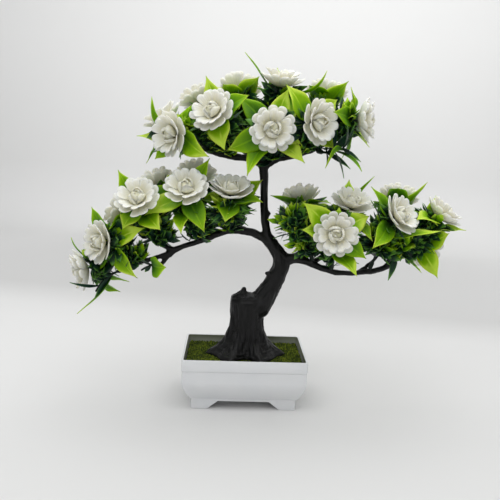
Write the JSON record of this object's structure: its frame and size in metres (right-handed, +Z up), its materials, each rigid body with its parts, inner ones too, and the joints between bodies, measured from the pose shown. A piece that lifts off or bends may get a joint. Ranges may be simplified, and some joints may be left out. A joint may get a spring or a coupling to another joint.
{
  "type": "artificial bonsai",
  "caption": "Artificial camellia bonsai: a black branching trunk with leafy stems and white blooms, set in moss in a white footed rectangular pot.",
  "frame": {"origin": "on the surface that the pot stands on, under the middle of the plan's bounding box", "axes": "+X along the plant's widest spread, to the right of a viewer in front; +Y from the front to the back; +Z up"},
  "size_m": [0.2538, 0.0818, 0.2231],
  "materials": {
    "white_pot_plastic": "glossy",
    "cast_cement": "rough",
    "flocked_moss": "fine pile",
    "black_trunk_plastic": "satin, with bark grain",
    "white_petal_foam": "matt",
    "green_leaf_plastic": "satin"
  },
  "bodies": {
    "root": {"bloom_left_1": "white_petal_foam", "bloom_left_2": "white_petal_foam", "bloom_left_3": "white_petal_foam", "bloom_left_4": "white_petal_foam", "bloom_left_5": "white_petal_foam", "bloom_left_6": "white_petal_foam", "bloom_left_7": "white_petal_foam", "bloom_left_8": "white_petal_foam", "bloom_right_1": "white_petal_foam", "bloom_right_2": "white_petal_foam", "bloom_right_3": "white_petal_foam", "bloom_right_4": "white_petal_foam", "bloom_right_5": "white_petal_foam", "bloom_right_6": "white_petal_foam", "bloom_right_7": "white_petal_foam", "bloom_top_1": "white_petal_foam", "bloom_top_10": "white_petal_foam", "bloom_top_2": "white_petal_foam", "bloom_top_3": "white_petal_foam", "bloom_top_4": "white_petal_foam", "bloom_top_5": "white_petal_foam", "bloom_top_6": "white_petal_foam", "bloom_top_7": "white_petal_foam", "bloom_top_8": "white_petal_foam", "bloom_top_9": "white_petal_foam", "leafy_stem_left_1": "green_leaf_plastic", "leafy_stem_left_2": "green_leaf_plastic", "leafy_stem_left_3": "green_leaf_plastic", "leafy_stem_left_4": "green_leaf_plastic", "leafy_stem_left_5": "green_leaf_plastic", "leafy_stem_left_6": "green_leaf_plastic", "leafy_stem_left_7": "green_leaf_plastic", "leafy_stem_left_8": "green_leaf_plastic", "leafy_stem_left_inner": "green_leaf_plastic", "leafy_stem_left_tip": "green_leaf_plastic", "leafy_stem_left_under": "green_leaf_plastic", "leafy_stem_right_1": "green_leaf_plastic", "leafy_stem_right_2": "green_leaf_plastic", "leafy_stem_right_3": "green_leaf_plastic", "leafy_stem_right_4": "green_leaf_plastic", "leafy_stem_right_5": "green_leaf_plastic", "leafy_stem_right_6": "green_leaf_plastic", "leafy_stem_right_7": "green_leaf_plastic", "leafy_stem_right_left": "green_leaf_plastic", "leafy_stem_top_1": "green_leaf_plastic", "leafy_stem_top_10": "green_leaf_plastic", "leafy_stem_top_2": "green_leaf_plastic", "leafy_stem_top_3": "green_leaf_plastic", "leafy_stem_top_4": "green_leaf_plastic", "leafy_stem_top_5": "green_leaf_plastic", "leafy_stem_top_6": "green_leaf_plastic", "leafy_stem_top_7": "green_leaf_plastic", "leafy_stem_top_8": "green_leaf_plastic", "leafy_stem_top_9": "green_leaf_plastic", "leafy_stem_top_right": "green_leaf_plastic", "moss_mat": "flocked_moss", "pot": "white_pot_plastic", "pot_filler": "cast_cement", "trunk": "black_trunk_plastic"}
  },
  "joints": []
}
